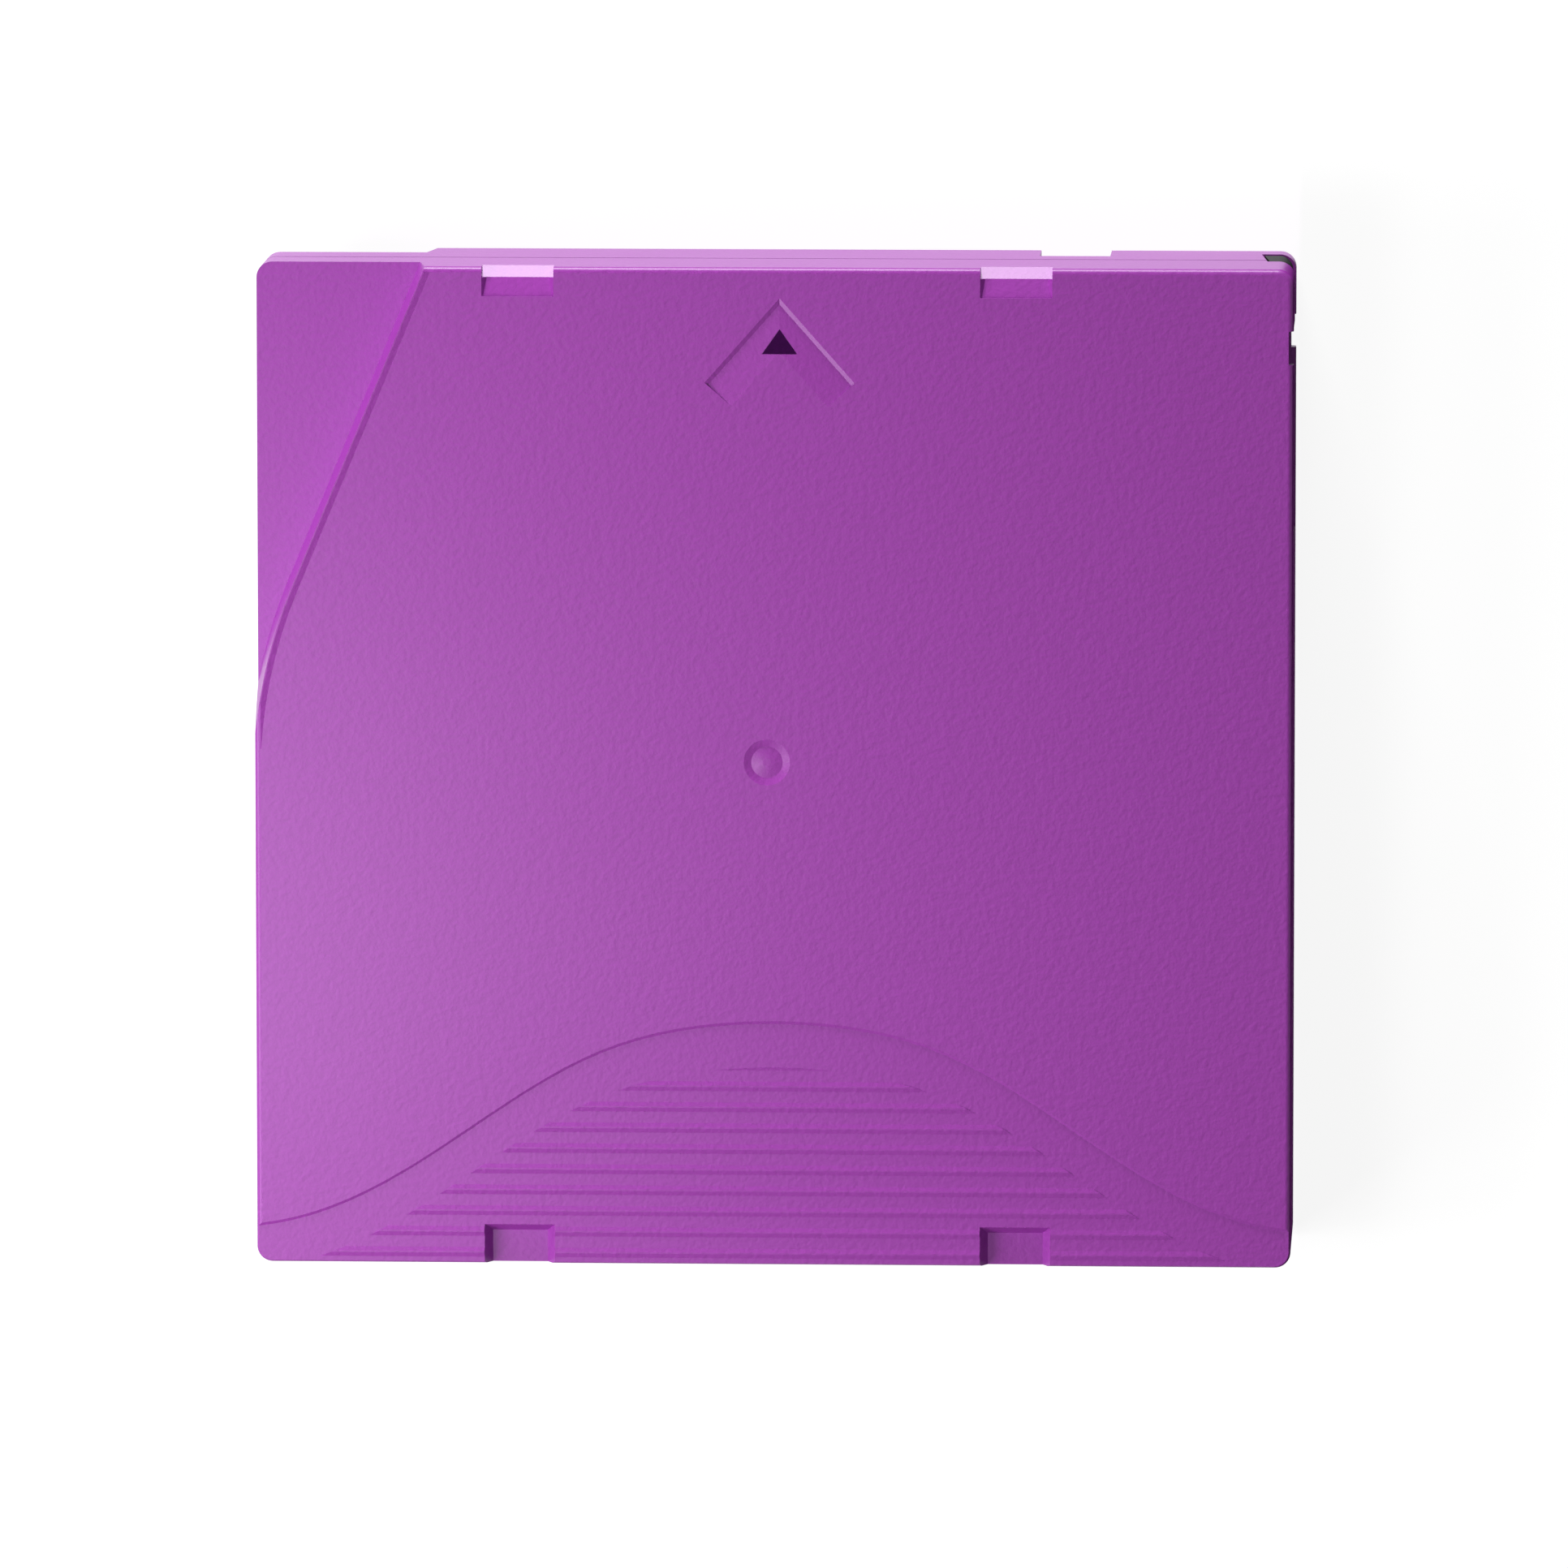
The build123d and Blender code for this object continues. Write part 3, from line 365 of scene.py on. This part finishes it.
def coil_path(length, radius, wire, turns):
    """Points of an upright coil from 0 to length, whose end turns lie closed."""
    closed = closed_turns * wire
    open_pitch = (length - wire - 2 * closed) / (turns - 2 * closed_turns)
    points = []
    for step in range(turns * turn_steps + 1):
        turn = step / turn_steps
        rise = min(turn, closed_turns) * wire
        rise += max(0.0, min(turn, turns - closed_turns) - closed_turns) * open_pitch
        rise += max(0.0, turn - turns + closed_turns) * wire
        angle = 2 * math.pi * turn
        points.append(Vector((radius * math.cos(angle), radius * math.sin(angle), wire / 2 + rise)))
    return points


def coil_mesh(name, length, radius, wire, turns):
    """Round wire swept along the coil, closed at both ends."""
    path = coil_path(length, radius, wire, turns)
    points = []
    for place in path:
        outward = Vector((place.x, place.y, 0.0)).normalized()
        for side in range(wire_sides):
            angle = 2 * math.pi * side / wire_sides
            upward = Vector((0.0, 0.0, math.sin(angle)))
            points.append(place + wire / 2 * (math.cos(angle) * outward + upward))
    faces = [tuple(range(wire_sides))]
    for step in range(len(path) - 1):
        for side in range(wire_sides):
            here = step * wire_sides + side
            beside = step * wire_sides + (side + 1) % wire_sides
            faces.append((here, here + wire_sides, beside + wire_sides, beside))
    faces.append(tuple(range(len(points) - 1, len(points) - wire_sides - 1, -1)))
    mesh = bpy.data.meshes.new(name)
    mesh.from_pydata(points, [], faces)
    mesh.shade_smooth()
    mesh.materials.append(materials["spring_steel"])
    return mesh


def add_spring(joint_name, name, wire, turns):
    """A coil in the place of a CAD spring, which it hides."""
    joint = joint_named(joint_name)
    follows = joint["deforming_nodes"][0]
    letter = follows["mode"][-1]
    along = "xyz".index(letter)
    seat = follows[f"fixed_end_{letter}_m"]
    low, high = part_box(follows["node"])
    length = high[along] - low[along]
    radius = (high[(along + 1) % 3] - low[(along + 1) % 3] - wire) / 2
    spring = link_object(name, coil_mesh(name, length, radius, wire, turns))
    anchor = (low + high) / 2
    spring.location = anchor
    spring.location[along] = low[along]
    if letter == "y":
        spring.rotation_euler = (-math.pi / 2, 0.0, 0.0)
    anchor[along] = seat
    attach(spring, "case")
    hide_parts(follows["node"])
    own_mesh(spring)


def add_camera():
    """Camera at the photograph's viewing angle."""
    data = bpy.data.cameras.new("camera")
    data.lens = camera_lens
    data.sensor_width = camera_sensor
    data.clip_start, data.clip_end = camera_clip
    camera = link_object("camera", data)
    camera.location = camera_place
    camera.rotation_euler = Euler([math.radians(angle) for angle in camera_turn], "XYZ")
    bpy.context.scene.camera = camera


def add_area_light(name, place, size, power):
    """A square soft light aimed at the middle of the cartridge's underside."""
    data = bpy.data.lights.new(name, "AREA")
    data.size = size
    data.energy = power
    light = link_object(name, data)
    light.location = place
    light.rotation_euler = (-Vector(place)).to_track_quat("-Z", "Y").to_euler()


def seen_directly(tree):
    """1 for camera, glossy and transmission rays, and 0 for the rest."""
    path = tree.nodes.new("ShaderNodeLightPath")
    total = path.outputs["Is Camera Ray"]
    for name in ("Is Glossy Ray", "Is Transmission Ray"):
        add = tree.nodes.new("ShaderNodeMath")
        add.operation = "MAXIMUM"
        tree.links.new(total, add.inputs[0])
        tree.links.new(path.outputs[name], add.inputs[1])
        total = add.outputs[0]
    return total


def add_world():
    """Even soft light, seen as white."""
    world = bpy.data.worlds.new("studio")
    world.use_nodes = True
    tree = world.node_tree
    shine = tree.nodes["Background"]
    shine.inputs["Color"].default_value = (*white, 1.0)
    tree.links.new(span(tree, seen_directly(tree), world_light, 1.0), shine.inputs["Strength"])
    bpy.context.scene.world = world


def matte_sheet(name, colour, left, right, rear, front, z):
    """A dull rectangle level with the floor, outside the model."""
    mesh = bpy.data.meshes.new(name)
    corners = [(left, rear, z), (right, rear, z), (right, front, z), (left, front, z)]
    mesh.from_pydata(corners, [], [(0, 1, 2, 3)])
    material, tree, shader = principled(name, matte)
    shader.inputs["Base Color"].default_value = (*colour, 1.0)
    shader.inputs["Specular IOR Level"].default_value = 0.0
    mesh.materials.append(material)
    sheet = link_object(name, mesh)
    return sheet, tree, shader


def add_floor():
    """Pale floor that is white where it is lit and keeps the cartridge's shadow."""
    half = floor_size / 2
    tree, shader = matte_sheet("floor", floor_colour, -half, half, -half, half, -floor_drop)[1:]
    shader.inputs["Emission Color"].default_value = (*white, 1.0)
    tree.links.new(span(tree, seen_directly(tree), 0.0, floor_lift), shader.inputs["Emission Strength"])


def add_shade_card():
    """Dark card on the floor, out of the camera's sight, that keeps the door side dark: painted shade, a dark
    sheet that the door side reflects and takes bounce light from in place of the floor's shadow.
    """
    reach, half = shade_card_size
    # the card is a sheet of painted shade, seen only in reflections and bounce light
    shade_card = matte_sheet("shade_card", shade_card_colour, shade_card_edge, shade_card_edge + reach, -half, half, shade_card_lift)[0]
    shade_card.visible_camera = False
    shade_card.visible_shadow = False


materials = make_materials()
dress_nodes()
add_arrow()
for spring in springs:
    add_spring(*spring)
add_camera()
add_world()
for name, light in lights.items():
    add_area_light(name, *light)
add_floor()
add_shade_card()
bpy.context.scene.view_settings.view_transform = "Standard"
